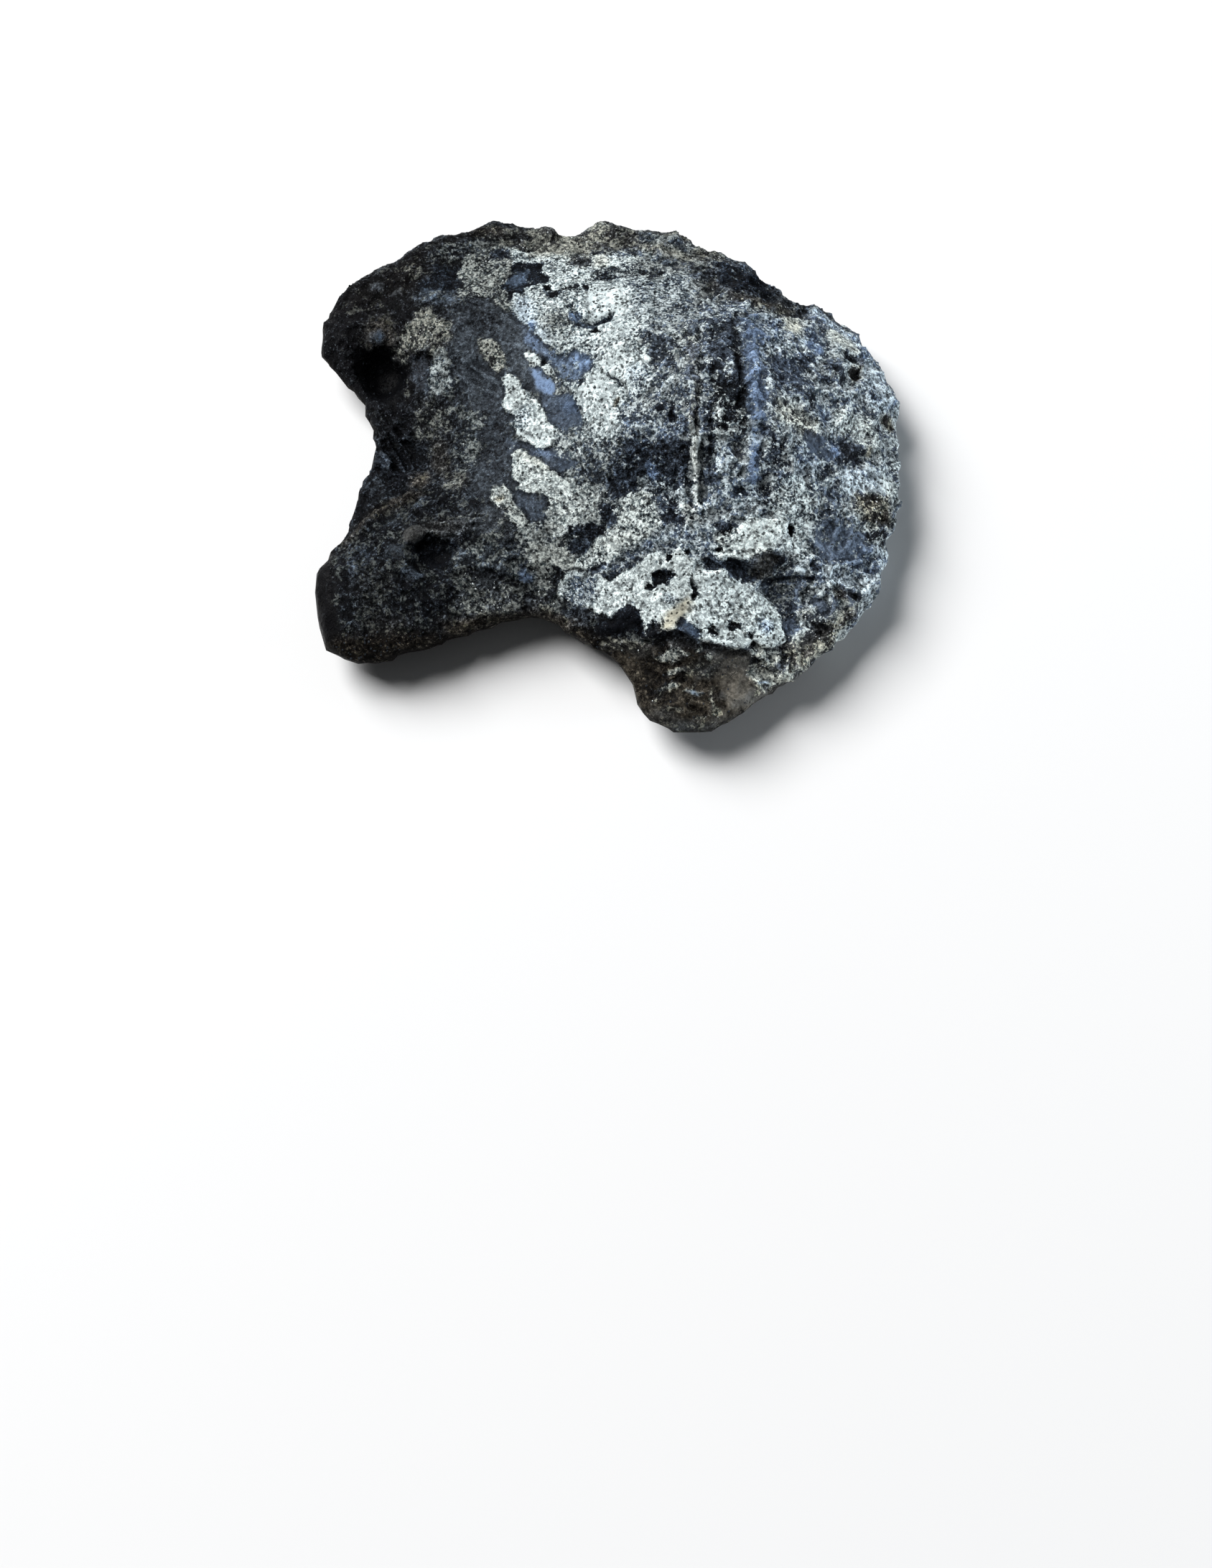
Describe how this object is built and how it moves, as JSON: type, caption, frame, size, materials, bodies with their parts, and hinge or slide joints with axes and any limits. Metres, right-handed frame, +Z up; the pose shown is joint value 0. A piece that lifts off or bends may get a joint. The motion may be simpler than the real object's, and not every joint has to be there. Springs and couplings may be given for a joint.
{
  "type": "fossil dinosaur footprint",
  "caption": "Natural cast of a three-toed dinosaur footprint: a thick rock slab with blunt toes, a raised heel and a mottled pale and coaly crust, resting on its flat back.",
  "frame": {"origin": "centre of the bounding box on the surface it rests on", "axes": "+X across the toes toward the heel side, +Y from the lone toe's tip to the back edge, +Z up from the seat"},
  "size_m": [0.61, 0.572, 0.152],
  "materials": {
    "coaly_rock": "rough coaly sandstone with a pale speckled crust and smooth dark coal"
  },
  "bodies": {
    "root": {"footprint_cast": "coaly_rock"}
  },
  "joints": []
}
